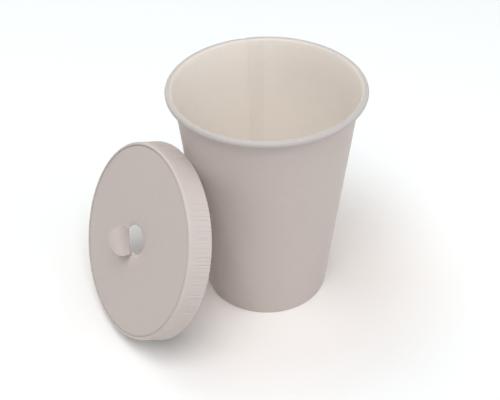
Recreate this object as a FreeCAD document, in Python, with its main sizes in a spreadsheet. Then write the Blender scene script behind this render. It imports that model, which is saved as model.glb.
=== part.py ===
import FreeCAD, Part
import math
import os
import re
import Sketcher
from FreeCAD import Placement, Rotation, Vector

# A single-wall paper coffee cup, 90 mm across the rim, with its paper lid taken off and leaning on the wall.
# Millimetres. The cup's axis is Z and the floor is Z = 0, with the origin at the centre of the foot.
# Azimuths are degrees about Z from +X. The cup's side seam faces the back, +Y.

doc = FreeCAD.newDocument("PaperCoffeeCup")
sheet = doc.addObject("Spreadsheet::Sheet", "Sizes")

SIZES = (
    # The cup's wall
    ("cup_height", "112", "floor to the top of the rolled rim"),
    ("rim_radius", "45", "outside of the rolled rim"),
    ("foot_radius", "30", "outside of the wall, at the floor"),
    ("throat_step", "1.8", "inside of the roll in to the outside of the wall, where the flare starts"),
    ("flare_drop", "14", "top of the rim down to the start of the flare"),
    ("wall_board", "0.42", "thickness of the wall's board"),
    ("bead_radius", "1.5", "radius of the rolled rim's section"),
    ("curl_end", "231", "angle where the roll's raw edge stops, about the roll's centre"),
    # The side seam
    ("seam_azimuth", "91", "azimuth of the outer ply's raw edge"),
    ("lap_angle", "11.5", "angle over which the plies lap"),
    ("ramp_angle", "9.5", "angle over which the outer ply comes down to the round wall"),
    ("glue_line", "0.06", "between the two plies of the seam"),
    ("roll_gap", "0.3", "between the top of the outer ply's lap and the roll"),
    # The foot
    ("hem_height", "6.2", "floor to the top of the turned-in hem"),
    ("fold_radius", "0.5", "outside radius of the two folds of the hem"),
    ("base_board", "0.34", "thickness of the base's board"),
    ("base_recess", "7.5", "floor to the underside of the base"),
    ("base_bend", "0.85", "outside radius of the base's turned-down edge"),
    ("seat_gap", "0.1", "between the base's edge and the plies each side of it"),
    # The lid
    ("face_radius", "45.5", "lid's outer corner, where its face and skirt would meet"),
    ("mouth_radius", "46.5", "outside of the lid's open end"),
    ("skirt_height", "11", "lid's face to its open end"),
    ("lid_board", "0.45", "thickness of the lid's paper"),
    ("lid_fold", "1.1", "outside radius of the fold between face and skirt"),
    ("ridge_width", "1.3", "flat ridge inside the fold"),
    ("face_recess", "0.3", "depth of the pressed face below the ridge"),
    ("pleat_count", "96", "creases round the skirt"),
    ("pleat_depth", "0.2", "depth of a crease at the open end"),
    ("pleat_width", "0.8", "width of a crease at the open end"),
    ("pleat_fade", "2.2", "face down to where the creases start"),
    # The sip hole and its flap
    ("hole_radius", "7.4", "radius of the sip hole"),
    ("hole_across", "-0.9", "hole's centre from the lid's axis, along the face's level line"),
    ("hole_up", "-0.12", "hole's centre from the lid's axis, up the face"),
    ("hinge_offset", "5.45", "hole's centre to the flap's uncut side"),
    ("hinge_angle", "36", "direction from the uncut side to the hole's far edge, on the face"),
    ("flap_bend", "0.6", "inside radius of the flap's bend"),
    ("flap_lift", "24", "angle between the folded flap and the face"),
    # Where the lid leans
    ("lean_angle", "23.39", "angle of the lid's axis above level"),
    ("lid_azimuth", "211.81", "azimuth that the lid's face looks to"),
    ("lid_slide", "6.7", "lid's centre from the radial plane of its azimuth, to the left of its face"),
    ("lean_gap", "0.3", "between the lid's open end and the wall that it leans on"),
)

for row, (alias, number, meaning) in enumerate(SIZES, start=1):
    sheet.set(f"A{row}", alias)
    sheet.set(f"B{row}", number)
    sheet.set(f"C{row}", meaning)
    sheet.setAlias(f"B{row}", alias)
doc.recompute()


# Formulas of the sizes

def bound(formula):
    """Spell a formula of size names the way an expression refers to the sheet."""
    return re.sub(r"[a-z]+(_[a-z]+)+", lambda name: "Sizes." + name.group(0), formula)


def value(formula):
    """Work out a formula of size names."""
    return float(sheet.evalExpression(bound(formula)))


def bind(item, formulas):
    """Bind properties of a document object to formulas of the sizes."""
    for name, formula in formulas.items():
        item.setExpression(name, bound(formula))


# THROAT is the outside radius of the wall where its flare starts. The wall leans outwards by SLOPE millimetres a
# millimetre. SLANT turns a thickness across the wall into a level one. OUT and UP are the level and upright parts
# of the wall's outward normal.
THROAT = "(rim_radius - 2 * bead_radius - throat_step)"
SLOPE = f"(({THROAT} - foot_radius) / (cup_height - flare_drop))"
SLANT = f"sqrt(1 + {SLOPE}^2)"
OUT = f"(1 / {SLANT})"
UP = f"({SLOPE} / {SLANT})"


# Sketches

def origin_plane(body, role):
    """Find one of a body's own origin planes."""
    return next(item for item in body.Origin.OriginFeatures if item.Role == role)


def new_sketch(body, name, role):
    """Start a sketch on one of a body's origin planes."""
    sketch = body.newObject("Sketcher::SketchObject", name)
    sketch.AttachmentSupport = [(origin_plane(body, role), "")]
    sketch.MapMode = "FlatFace"
    return sketch


def pin(sketch, edge, point, corner):
    """Hold a point of an edge at the place that two formulas give."""
    for kind, formula in zip(("DistanceX", "DistanceY"), corner):
        index = sketch.addConstraint(Sketcher.Constraint(kind, -1, 1, edge, point, value(formula)))
        sketch.setExpression(f"Constraints[{index}]", bound(formula))


def arc_edge(start, end, centre):
    """Make the shorter arc between two points, and say which of its ends is the start (1) or the end (2)."""
    radius = (start - centre).Length
    turns = [math.atan2(point.y - centre.y, point.x - centre.x) for point in (start, end)]
    ahead = (turns[1] - turns[0]) % math.tau
    forwards = ahead < math.pi
    first, last = turns if forwards else reversed(turns)
    circle = Part.Circle(centre, Vector(0, 0, 1), radius)
    return Part.ArcOfCircle(circle, first, last), (1, 2) if forwards else (2, 1)


def outline(sketch, corners, arcs=None, smooth=()):
    """Draw a closed outline through corners given as pairs of formulas.

    arcs gives the centre, as a pair of formulas, of each edge that is an arc, under the number of the corner
    where it starts. smooth lists the corners where two edges run into each other at a tangent. A corner there is
    pinned only if it ends a straight edge, and an arc has its centre pinned only if the sketch needs it.
    """
    arcs = arcs or {}
    points = [Vector(value(x), value(y), 0) for x, y in corners]
    count = len(points)
    ends = []
    for number, start in enumerate(points):
        end = points[(number + 1) % count]
        if number in arcs:
            x, y, _ = arcs[number]
            geometry, sides = arc_edge(start, end, Vector(value(x), value(y), 0))
        else:
            geometry, sides = Part.LineSegment(start, end), (1, 2)
        ends.append((sketch.addGeometry(geometry, False), sides))
    for number, corner in enumerate(corners):
        edge, (first, _) = ends[number]
        before, (_, last) = ends[number - 1]
        kind = "Tangent" if number in smooth else "Coincident"
        sketch.addConstraint(Sketcher.Constraint(kind, before, last, edge, first))
        if not (number in smooth and number in arcs and (number - 1) % count in arcs):
            pin(sketch, edge, first, corner)
    for number, (x, y, held) in arcs.items():
        if held == "centre":
            pin(sketch, ends[number][0], 3, (x, y))
        if held == "radius":
            radius = f"sqrt(({corners[number][0]} - ({x}))^2 + ({corners[number][1]} - ({y}))^2)"
            index = sketch.addConstraint(Sketcher.Constraint("Radius", ends[number][0], value(radius)))
            sketch.setExpression(f"Constraints[{index}]", bound(radius))
    return sketch


def turn_about_z(body, name, sketch, angle="360"):
    """Turn a sketch about the upright axis, by an angle that grows with the azimuth."""
    turned = body.newObject("PartDesign::Revolution", name)
    turned.Profile = sketch
    turned.ReferenceAxis = (sketch, ["V_Axis"])
    bind(turned, {"Angle": angle})
    sketch.Visibility = False
    return turned


# The cup's wall

# The wall's outward face stands at foot_radius + SLOPE * level. The blank winds round and laps between the levels
# JOIN and RIM_JOIN. Below them the hem ring closes it, and above them the flare's last stretch and the roll.
JOIN = "(2 * fold_radius)"
RIM_JOIN = "(cup_height - 2 * bead_radius - roll_gap)"
ROLL_X = "(rim_radius - bead_radius)"
ROLL_Z = "(cup_height - bead_radius)"
FLARE_Z = "(cup_height - flare_drop)"
LAP_SHIFT = f"((wall_board + glue_line) * {SLANT})"


def face_at(level, depth="0"):
    """Give the radius, at a level, of the surface that lies a depth behind the wall's outward face."""
    return f"(foot_radius + {SLOPE} * ({level}) - ({depth}) * {SLANT})"


def flare(shift="0"):
    """Give formulas for the flare of the wall's inner face: where it starts, its radius and its centre.

    The flare is the one arc that leaves the straight wall and runs into the roll, both at a tangent. shift is how
    far outwards the whole section lies.
    """
    start_x = f"({THROAT} - wall_board * {OUT} + {shift})"
    start_z = f"({FLARE_Z} + wall_board * {UP})"
    across = f"({start_x} - {ROLL_X} - {shift})"
    along = f"({start_z} - {ROLL_Z})"
    radius = (f"((bead_radius^2 - {across}^2 - {along}^2)"
              f" / (2 * (({across} - {SLOPE} * {along}) / {SLANT} + bead_radius)))")
    centre_x = f"({start_x} + {radius} * {OUT})"
    centre_z = f"({start_z} - {radius} * {UP})"
    return (start_x, start_z), radius, (centre_x, centre_z)


def flare_top(radius, centre):
    """Give the point where a face of the flare passes the level RIM_JOIN."""
    return (f"{centre[0]} - sqrt(({radius})^2 - ({RIM_JOIN} - {centre[1]})^2)", RIM_JOIN)


def ply_outline(sketch, shift="0"):
    """Draw the section of the wound wall, straight and then flared, lying a shift outwards."""
    start, radius, centre = flare(shift)
    corners = [
        (f"{face_at(JOIN, 'wall_board')} + {shift}", JOIN),
        start,
        flare_top(radius, centre),
        flare_top(f"{radius} - wall_board", centre),
        (f"{THROAT} + {shift}", FLARE_Z),
        (f"{face_at(JOIN)} + {shift}", JOIN),
    ]
    bend = (*centre, "free")
    return outline(sketch, corners, {1: bend, 3: bend}, smooth=(1, 4))


def rim_outline(sketch):
    """Draw the rim's section: the flare's last stretch, and the roll that it runs into."""
    _, radius, centre = flare()
    inside = "(bead_radius - wall_board)"

    def on_roll(size):
        reach = f"({size}) / ({radius} - bead_radius)"
        return (f"{ROLL_X} + {reach} * ({ROLL_X} - {centre[0]})", f"{ROLL_Z} + {reach} * ({ROLL_Z} - {centre[1]})")

    def curl_tip(size):
        return (f"{ROLL_X} + ({size}) * cos(curl_end * 1 deg)", f"{ROLL_Z} + ({size}) * sin(curl_end * 1 deg)")

    corners = [
        flare_top(radius, centre),
        on_roll("bead_radius"),
        ("rim_radius", ROLL_Z),
        curl_tip("bead_radius"),
        curl_tip(inside),
        ("rim_radius - wall_board", ROLL_Z),
        on_roll(inside),
        flare_top(f"{radius} - wall_board", centre),
    ]
    bend = (*centre, "radius")
    first_roll = (ROLL_X, ROLL_Z, "centre")
    last_roll = (ROLL_X, ROLL_Z, "radius")
    arcs = {0: bend, 1: first_roll, 2: last_roll, 4: last_roll, 5: first_roll, 6: bend}
    return outline(sketch, corners, arcs, smooth=(1, 6))


def hem_outline(sketch):
    """Draw the foot's section: the wall's lowest stretch, two folds with a flat between, and the hem."""
    width = "(2 * wall_board + 2 * seat_gap + base_board)"
    inner = "(fold_radius - wall_board)"
    outside_x = f"({face_at('fold_radius')} - fold_radius * {SLANT})"
    inside_x = f"({face_at('fold_radius', width)} + fold_radius * {SLANT})"
    fold_outside = (outside_x, "fold_radius", "radius")
    fold_inside = (inside_x, "fold_radius", "radius")
    corners = [
        (face_at(JOIN), JOIN),
        (f"{outside_x} + fold_radius * {OUT}", f"fold_radius - fold_radius * {UP}"),
        (outside_x, "0"),
        (inside_x, "0"),
        (f"{inside_x} - fold_radius * {OUT}", f"fold_radius + fold_radius * {UP}"),
        (face_at("hem_height", width), "hem_height"),
        (face_at("hem_height", f"{width} - wall_board"), "hem_height"),
        (f"{inside_x} - {inner} * {OUT}", f"fold_radius + {inner} * {UP}"),
        (inside_x, "wall_board"),
        (outside_x, "wall_board"),
        (f"{outside_x} + {inner} * {OUT}", f"fold_radius - {inner} * {UP}"),
        (face_at(JOIN, "wall_board"), JOIN),
    ]
    return outline(sketch, corners, {1: fold_outside, 3: fold_inside, 7: fold_inside, 9: fold_outside})


def radial_sketch(body, name, azimuth):
    """Start a sketch on the upright half-plane at an azimuth, with X outwards and Y up."""
    sketch = new_sketch(body, name, "XZ_Plane")
    sketch.AttachmentOffset = Placement(Vector(0, 0, 0), Rotation(Vector(0, 1, 0), value(azimuth)))
    bind(sketch, {"AttachmentOffset.Rotation.Angle": azimuth})
    return sketch


def make_cup_sidewall():
    """Make the blank: the hem, a wall that winds once round and laps over itself at the seam, and the rim."""
    body = doc.addObject("PartDesign::Body", "cup_sidewall")
    turn_about_z(body, "hem_ring", hem_outline(new_sketch(body, "hem_section", "XZ_Plane")))
    turn_about_z(body, "rolled_rim", rim_outline(new_sketch(body, "rim_section", "XZ_Plane")))

    lap_end = "seam_azimuth + lap_angle"
    ramp_end = f"{lap_end} + ramp_angle"
    round_wall = ply_outline(radial_sketch(body, "wall_section", ramp_end))
    turn_about_z(body, "wound_wall", round_wall, "360 - ramp_angle")

    outer_ply = ply_outline(radial_sketch(body, "outer_ply_section", "seam_azimuth"), LAP_SHIFT)
    turn_about_z(body, "outer_ply", outer_ply, "lap_angle")

    ramp_high = ply_outline(radial_sketch(body, "ramp_high_section", lap_end), LAP_SHIFT)
    ramp_low = ply_outline(radial_sketch(body, "ramp_low_section", ramp_end))
    ramp = body.newObject("PartDesign::AdditiveLoft", "seam_ramp")
    ramp.Profile = ramp_high
    ramp.Sections = [ramp_low]
    ramp.Ruled = True
    for sketch in (ramp_high, ramp_low):
        sketch.Visibility = False
    return body


# The cup's base

def make_cup_base():
    """Make the base: a flat disc whose edge turns down between the wall and the hem."""
    body = doc.addObject("PartDesign::Body", "cup_base")
    top = "(base_recess + base_board)"
    inner = "(base_bend - base_board)"
    skirt = "wall_board + seat_gap"
    foot = "(wall_board + seat_gap)"
    bend_z = f"({top} - base_bend)"
    bend_x = f"({face_at(bend_z, skirt)} - base_bend * {SLANT})"
    corners = [
        ("0", "base_recess"),
        ("0", top),
        (bend_x, top),
        (f"{bend_x} + base_bend * {OUT}", f"{bend_z} - base_bend * {UP}"),
        (face_at(foot, skirt), foot),
        (face_at(foot, f"{skirt} + base_board"), foot),
        (f"{bend_x} + {inner} * {OUT}", f"{bend_z} - {inner} * {UP}"),
        (bend_x, "base_recess"),
    ]
    sketch = new_sketch(body, "base_section", "XZ_Plane")
    bend = (bend_x, bend_z, "radius")
    turn_about_z(body, "base_disc", outline(sketch, corners, {2: bend, 6: bend}))
    return body


# The lid, drawn with its axis on Z, the ridge of its face at Z = 0 and its skirt below

DRAFT = "((mouth_radius - face_radius) / skirt_height)"
DRAFT_SLANT = f"sqrt(1 + {DRAFT}^2)"
FOLD_X = f"(face_radius + {DRAFT} * lid_fold - lid_fold * {DRAFT_SLANT})"
HALF_HINGE = "sqrt(hole_radius^2 - hinge_offset^2)"
BEND_OUTSIDE = "(flap_bend + lid_board)"
# The flap keeps its length: its bend takes an arc at mid thickness, and the straight run has the rest.
FLAP_RUN = "(hole_radius + hinge_offset - (flap_bend + lid_board / 2) * (180 - flap_lift) * pi / 180)"
LIFT_SIN = "sin(flap_lift * 1 deg)"
LIFT_COS = "cos(flap_lift * 1 deg)"


def lid_outline(sketch):
    """Draw the lid's section: a face pressed a little below its ridge, the fold, and the skirt."""
    inner = "(lid_fold - lid_board)"
    step_x = f"({FOLD_X} - ridge_width)"
    face_x = f"({step_x} - face_recess)"
    corners = [
        ("0", "-face_recess"),
        (face_x, "-face_recess"),
        (step_x, "0"),
        (FOLD_X, "0"),
        (f"{FOLD_X} + lid_fold / {DRAFT_SLANT}", f"-lid_fold + lid_fold * {DRAFT} / {DRAFT_SLANT}"),
        ("mouth_radius", "-skirt_height"),
        (f"mouth_radius - lid_board * {DRAFT_SLANT}", "-skirt_height"),
        (f"{FOLD_X} + {inner} / {DRAFT_SLANT}", f"-lid_fold + {inner} * {DRAFT} / {DRAFT_SLANT}"),
        (FOLD_X, "-lid_board"),
        (step_x, "-lid_board"),
        (face_x, "-face_recess - lid_board"),
        ("0", "-face_recess - lid_board"),
    ]
    fold = (FOLD_X, "-lid_fold", "radius")
    return outline(sketch, corners, {3: fold, 7: fold})


def hole_plan_sketch(body, name):
    """Start a sketch on the lid's face, at the hole's centre, with X from the hinge to the hole's far edge."""
    sketch = new_sketch(body, name, "XY_Plane")
    sketch.AttachmentOffset = Placement(Vector(0, 0, 0), Rotation(Vector(0, 0, 1), value("hinge_angle")))
    bind(sketch, {
        "AttachmentOffset.Base.x": "hole_across",
        "AttachmentOffset.Base.y": "hole_up",
        "AttachmentOffset.Rotation.Angle": "hinge_angle",
    })
    return sketch


def make_pressed_cap():
    """Make the lid's face and skirt, and cut the sip hole: a circle less the segment behind the hinge."""
    body = doc.addObject("PartDesign::Body", "pressed_cap")
    turn_about_z(body, "cap_form", lid_outline(new_sketch(body, "cap_section", "XZ_Plane")))
    corners = [
        ("-hinge_offset", f"-{HALF_HINGE}"),
        ("hole_radius", "0"),
        ("-hinge_offset", HALF_HINGE),
    ]
    edge = ("0", "0", "radius")
    plan = outline(hole_plan_sketch(body, "hole_plan"), corners, {0: edge, 1: edge})
    hole = body.newObject("PartDesign::Pocket", "sip_hole")
    hole.Profile = plan
    hole.SideType = "Symmetric"
    bind(hole, {"Length": "4 * (lid_board + face_recess)"})
    plan.Visibility = False
    return body


def crease(turn):
    """Make one crease's cutter: a four-sided point that starts on the skirt and deepens to the open end."""
    fade = value("pleat_fade")
    skirt = value("skirt_height")
    depth = value("pleat_depth")
    width = value("pleat_width")
    past_end = 1 + depth / (skirt - fade)
    slope = value(DRAFT)

    def place(share, inwards, across):
        level = fade + (skirt - fade) * share
        return Vector(value("face_radius") + slope * level - inwards * share, across * share, -level)

    start = place(0, 0, 0)
    valley = place(past_end, depth, 0)
    left = place(past_end, -depth, width)
    right = place(past_end, -depth, -width)
    sides = [(start, left, valley), (start, valley, right), (start, right, left), (valley, left, right)]
    faces = [Part.Face(Part.makePolygon([*side, side[0]])) for side in sides]
    cutter = Part.makeSolid(Part.makeShell(faces))
    return cutter.rotated(Vector(0, 0, 0), Vector(0, 0, 1), turn)


def make_creased_cap(cap):
    """Cut the creases that the paper takes where the flat disc was drawn in to a skirt."""
    count = round(value("pleat_count"))
    creases = doc.addObject("Part::Feature", "pleat_creases")
    creases.Shape = Part.makeCompound([crease(360 * number / count) for number in range(count)])
    creased = doc.addObject("Part::Cut", "creased_cap")
    creased.Base = cap
    creased.Tool = creases
    return creased


def make_flap_strip():
    """Make the flap's paper as a strip: rooted in the face, bent up and back, and running out over the face."""
    body = doc.addObject("PartDesign::Body", "flap_strip")
    sketch = new_sketch(body, "flap_section", "XZ_Plane")
    sketch.AttachmentOffset = Placement(Vector(0, 0, 0), Rotation(Vector(0, 1, 0), value("hinge_angle")))
    bind(sketch, {
        "AttachmentOffset.Base.x": "hole_across",
        "AttachmentOffset.Base.z": "-hole_up",
        "AttachmentOffset.Rotation.Angle": "hinge_angle",
    })
    bend_z = "(flap_bend - face_recess)"
    root_x = "-hinge_offset - lid_board"
    end_x = f"(flap_bend * {LIFT_SIN} - hinge_offset)"
    end_z = f"({bend_z} + flap_bend * {LIFT_COS})"
    tip_x = f"({end_x} - {FLAP_RUN} * {LIFT_COS})"
    tip_z = f"({end_z} + {FLAP_RUN} * {LIFT_SIN})"
    corners = [
        (root_x, "-face_recess"),
        ("-hinge_offset", "-face_recess"),
        (end_x, end_z),
        (tip_x, tip_z),
        (f"{tip_x} + lid_board * {LIFT_SIN}", f"{tip_z} + lid_board * {LIFT_COS}"),
        (f"{BEND_OUTSIDE} * {LIFT_SIN} - hinge_offset", f"{bend_z} + {BEND_OUTSIDE} * {LIFT_COS}"),
        ("-hinge_offset", "-face_recess - lid_board"),
        (root_x, "-face_recess - lid_board"),
    ]
    bend = ("-hinge_offset", bend_z, "radius")
    outline(sketch, corners, {1: bend, 5: bend})
    strip = body.newObject("PartDesign::Pad", "strip")
    strip.Profile = sketch
    strip.SideType = "Symmetric"
    bind(strip, {"Length": "2 * hole_radius"})
    sketch.Visibility = False
    return body


def make_flap_plan():
    """Make the flap's plan as a block: the hole's own circle folded back, and a neck as wide as the hinge."""
    body = doc.addObject("PartDesign::Body", "flap_plan")
    tip_x = f"(flap_bend * {LIFT_SIN} - hinge_offset - {FLAP_RUN} * {LIFT_COS})"
    round_x = f"({tip_x} + hole_radius)"
    shoulder = f"sqrt(hole_radius^2 - (hinge_offset + {round_x})^2)"
    neck_x = f"{BEND_OUTSIDE} + lid_board - hinge_offset"
    corners = [
        (neck_x, f"-{HALF_HINGE}"),
        (neck_x, HALF_HINGE),
        ("-hinge_offset", HALF_HINGE),
        ("-hinge_offset", shoulder),
        (tip_x, "0"),
        ("-hinge_offset", f"-{shoulder}"),
        ("-hinge_offset", f"-{HALF_HINGE}"),
    ]
    edge = (round_x, "0", "radius")
    plan = outline(hole_plan_sketch(body, "flap_outline"), corners, {3: edge, 4: edge})
    block = body.newObject("PartDesign::Pad", "block")
    block.Profile = plan
    block.SideType = "Symmetric"
    bind(block, {"Length": "2 * hole_radius"})
    plan.Visibility = False
    return body


def lid_placement():
    """Stand the lid on the floor by its open end and lean it on the wall, turned and slid as the sizes say."""
    azimuth = math.radians(value("lid_azimuth"))
    lean = math.radians(value("lean_angle"))
    outwards = Vector(math.cos(azimuth), math.sin(azimuth), 0)
    level = Vector(-math.sin(azimuth), math.cos(azimuth), 0)
    normal = outwards * math.cos(lean) + Vector(0, 0, math.sin(lean))
    upwards = normal.cross(level)
    depth = value("skirt_height")
    mouth = value("mouth_radius")
    rise = depth * math.sin(lean) + mouth * math.cos(lean)
    aside = Vector(0, 0, rise) - level * value("lid_slide")
    foot = value("foot_radius")
    slope = value(SLOPE)
    slant = value(SLANT)

    def gap(reach):
        """Measure the least gap between the wall and the upper half of the lid's open end."""
        centre = outwards * reach + aside - normal * depth
        gaps = []
        for degrees in range(181):
            turn = math.radians(degrees)
            point = centre + (level * math.cos(turn) + upwards * math.sin(turn)) * mouth
            gaps.append((math.hypot(point.x, point.y) - foot - slope * point.z) / slant)
        return min(gaps)

    # The gap only grows with the reach, so halving the interval finds the reach that leaves the wanted gap.
    near = foot
    far = foot + value("cup_height") + 2 * mouth
    for _ in range(50):
        middle = (near + far) / 2
        if gap(middle) < value("lean_gap"):
            near = middle
        else:
            far = middle
    return Placement(outwards * far + aside, Rotation(level, upwards, normal, "ZXY"))


def make_lid():
    """Join the creased cap and its folded flap, and lean the lid on the cup."""
    flap = doc.addObject("Part::Common", "sip_flap")
    flap.Base = make_flap_strip()
    flap.Tool = make_flap_plan()
    lid = doc.addObject("Part::Fuse", "lid")
    lid.Base = make_creased_cap(make_pressed_cap())
    lid.Tool = flap
    lid.Placement = lid_placement()
    return lid


# Build, check and write each piece

NODES = (make_cup_sidewall(), make_cup_base(), make_lid())
doc.recompute()

for item in doc.Objects:
    if {"Invalid", "Error"} & set(item.State):
        raise RuntimeError(f"{item.Label} did not build: {item.State}")
    if item.isDerivedFrom("Sketcher::SketchObject") and not item.FullyConstrained:
        raise RuntimeError(f"{item.Label} is not held by its sizes")

os.makedirs("parts", exist_ok=True)
for node in NODES:
    node.Label = node.Name
    shape = node.Shape
    if shape.isNull() or not shape.isValid() or len(shape.Solids) != 1:
        raise RuntimeError(f"{node.Label} is not one sound solid")
    box = shape.BoundBox
    print(f"{node.Label}: {shape.Volume:.1f} mm3, {len(shape.Faces)} faces,"
          f" X {box.XMin:.2f} to {box.XMax:.2f}, Y {box.YMin:.2f} to {box.YMax:.2f},"
          f" Z {box.ZMin:.2f} to {box.ZMax:.2f}")
    shape.exportStep(f"parts/{node.Label}.step")
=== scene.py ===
"""A paper coffee cup, with its paper lid taken off and leaning on its wall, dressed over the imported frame.

The cup stands on the floor, Z = 0, with its axis on Z and its side seam at the back, +Y. Lengths are
millimetres until a mesh is written, in metres. Azimuths are degrees about Z from +X.
"""
import logging
from dataclasses import dataclass, replace
from enum import Enum

import bmesh
import bpy
import numpy as np
from mathutils import Matrix


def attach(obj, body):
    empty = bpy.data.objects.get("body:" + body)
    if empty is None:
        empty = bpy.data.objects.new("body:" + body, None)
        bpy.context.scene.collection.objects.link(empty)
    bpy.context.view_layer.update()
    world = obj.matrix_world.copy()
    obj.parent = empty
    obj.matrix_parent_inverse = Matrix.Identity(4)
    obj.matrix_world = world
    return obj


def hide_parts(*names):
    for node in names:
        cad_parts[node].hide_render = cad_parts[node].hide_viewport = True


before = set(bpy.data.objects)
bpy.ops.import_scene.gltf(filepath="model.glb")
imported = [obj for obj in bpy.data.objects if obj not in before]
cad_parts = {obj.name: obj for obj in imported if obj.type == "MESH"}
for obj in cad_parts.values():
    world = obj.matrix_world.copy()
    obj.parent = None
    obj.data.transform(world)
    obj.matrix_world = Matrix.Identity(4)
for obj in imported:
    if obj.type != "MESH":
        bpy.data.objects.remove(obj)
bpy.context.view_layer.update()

LOG = logging.getLogger("coffee_cup")
MM = 0.001
ROLL_STEPS = 36
Colour = tuple[float, float, float]
Given = bpy.types.NodeSocket | float | tuple[float, ...]


class Slot(Enum):
    """Material slots of the record, one for each separate piece of paper."""

    WALL = "wall_board"
    BASE = "base_board"
    LID = "lid_paper"


class Side(Enum):
    """What a face of a piece of board belongs to, which is also its place among the piece's materials."""

    PLAIN = 0
    LINED = 1
    CUT = 2


# Shapes


def smooth(value: np.ndarray, low: float, high: float) -> np.ndarray:
    """Rise from 0 at low to 1 at high along the curve 3 t^2 - 2 t^3."""
    share = np.clip((value - low) / (high - low), 0.0, 1.0)
    return share * share * (3.0 - 2.0 * share)


@dataclass(frozen=True)
class Run:
    """A straight stretch of a section, from start to end, each a radius and a level."""

    start: tuple[float, float]
    end: tuple[float, float]
    steps: int

    def trace(self) -> tuple[np.ndarray, np.ndarray]:
        """Follow the stretch.

        Formula: start + t * (end - start), with the normal a right angle to the right of the way it goes.

        Returns:
            Points and normals, each a row of radius and level.
        """
        start, end = np.array(self.start), np.array(self.end)
        share = np.linspace(0.0, 1.0, self.steps + 1)[:, None]
        ahead = (end - start) / np.hypot(*(end - start))
        return start + share * (end - start), np.tile([ahead[1], -ahead[0]], (self.steps + 1, 1))


@dataclass(frozen=True)
class Bend:
    """A round stretch of a section, about a centre, from one angle to another in degrees."""

    centre: tuple[float, float]
    radius: float
    first: float
    last: float
    steps: int

    def trace(self) -> tuple[np.ndarray, np.ndarray]:
        """Follow the stretch.

        Formula: centre + radius * (cos a, sin a), with the normal pointing outwards where the angle grows.

        Returns:
            Points and normals, each a row of radius and level.
        """
        angle = np.radians(np.linspace(self.first, self.last, self.steps + 1))
        ray = np.stack([np.cos(angle), np.sin(angle)], axis=1)
        return np.array(self.centre) + self.radius * ray, ray * np.sign(self.last - self.first)


def trace(stretches: list[Run | Bend]) -> tuple[np.ndarray, np.ndarray, np.ndarray]:
    """Follow stretches that run into each other.

    Args:
        stretches: the stretches, each starting where the one before it ends.

    Returns:
        Points, normals, and the way travelled to each point.
    """
    traced = [stretch.trace() for stretch in stretches]
    points = np.concatenate([traced[0][0]] + [line[0][1:] for line in traced[1:]])
    normals = np.concatenate([traced[0][1]] + [line[1][1:] for line in traced[1:]])
    travelled = np.concatenate([[0.0], np.cumsum(np.hypot(*np.diff(points, axis=0).T))])
    return points, normals, travelled


@dataclass
class Surface:
    """A closed surface held as arrays.

    points are millimetres, and flat is each point's place on the blank before it was formed, in metres.
    fold is 0 on open board and 1 where a fold or a crease has stretched the fibres. It is more round the
    sip hole's lower rim, where it paints a highlight, and below 0 in the lid's groove, where it paints shade.
    """

    points: np.ndarray
    faces: np.ndarray
    sides: np.ndarray
    flat: np.ndarray
    fold: np.ndarray

    def joined(self, other: "Surface") -> "Surface":
        """Put another surface behind this one, in one mesh."""
        mine = (self.points, self.faces, self.sides, self.flat, self.fold)
        theirs = (other.points, other.faces + len(self.points), other.sides, other.flat, other.fold)
        return Surface(*(np.concatenate(pair) for pair in zip(mine, theirs)))


def board(
    middle: np.ndarray,
    normal: np.ndarray,
    thickness: float | np.ndarray,
    flat: np.ndarray,
    fold: np.ndarray,
    sides: tuple[Side, Side],
    closed: bool = False,
) -> Surface:
    """Give a sheet its thickness and its cut edges.

    Formula: a point of the front is middle + normal * thickness / 2, and one of the back is
    middle - normal * thickness / 2. Each row becomes a ring that runs forwards along the front and backwards
    along the back.

    Args:
        middle: the sheet's middle on a grid of rows and columns, where row step x column step is the normal.
        normal: unit normals on the same grid.
        thickness: the board's thickness, or that of each row.
        flat: each grid point's place on the flat blank, in metres.
        fold: each grid point's share of a fold.
        sides: what the front and the back are.
        closed: whether the last row meets the first, or both are cut edges.

    Returns:
        The closed surface.
    """
    rows, columns = middle.shape[:2]
    ring = 2 * columns
    half = np.asarray(thickness)[..., None, None] / 2 * normal
    points = np.concatenate([middle + half, (middle - half)[:, ::-1]], axis=1)
    row = np.arange(rows if closed else rows - 1)[:, None]
    column = np.arange(ring)[None, :]
    ahead, beside = (row + 1) % rows, (column + 1) % ring
    corners = (row * ring + column, ahead * ring + column, ahead * ring + beside, row * ring + beside)
    faces = np.stack(np.broadcast_arrays(*corners), axis=-1).reshape(-1, 4)
    strip = np.full(ring, sides[0].value)
    strip[columns:] = sides[1].value
    strip[[columns - 1, ring - 1]] = Side.CUT.value
    kinds = np.tile(strip, len(row))
    if not closed:
        front = np.arange(columns - 1)
        cap = np.stack([front, front + 1, ring - 2 - front, ring - 1 - front], axis=1)
        faces = np.concatenate([faces, cap, cap[:, ::-1] + (rows - 1) * ring])
        kinds = np.concatenate([kinds, np.full(2 * len(cap), Side.CUT.value)])
    return Surface(
        points.reshape(-1, 3),
        faces,
        kinds,
        np.concatenate([flat, flat[:, ::-1]], axis=1).reshape(-1, 2),
        np.concatenate([fold, fold[:, ::-1]], axis=1).reshape(-1),
    )


def swept(line: np.ndarray, normal: np.ndarray, azimuth: np.ndarray) -> tuple[np.ndarray, np.ndarray]:
    """Carry a section round the axis.

    Formula: (r cos a, r sin a, z) for a point of radius r and level z at the azimuth a.

    Args:
        line: radius and level on a grid of azimuths and places along the section.
        normal: the section's normals, one for each place along it.
        azimuth: the azimuths, in degrees.

    Returns:
        Points and normals on the grid.
    """
    turn = np.radians(azimuth)[:, None]
    normals = np.broadcast_to(normal, line.shape)

    def carried(pair: np.ndarray) -> np.ndarray:
        """Turn radius and level into a place."""
        return np.stack([pair[..., 0] * np.cos(turn), pair[..., 0] * np.sin(turn), pair[..., 1]], axis=-1)

    return carried(line), carried(normals)


# Finishes


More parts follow.
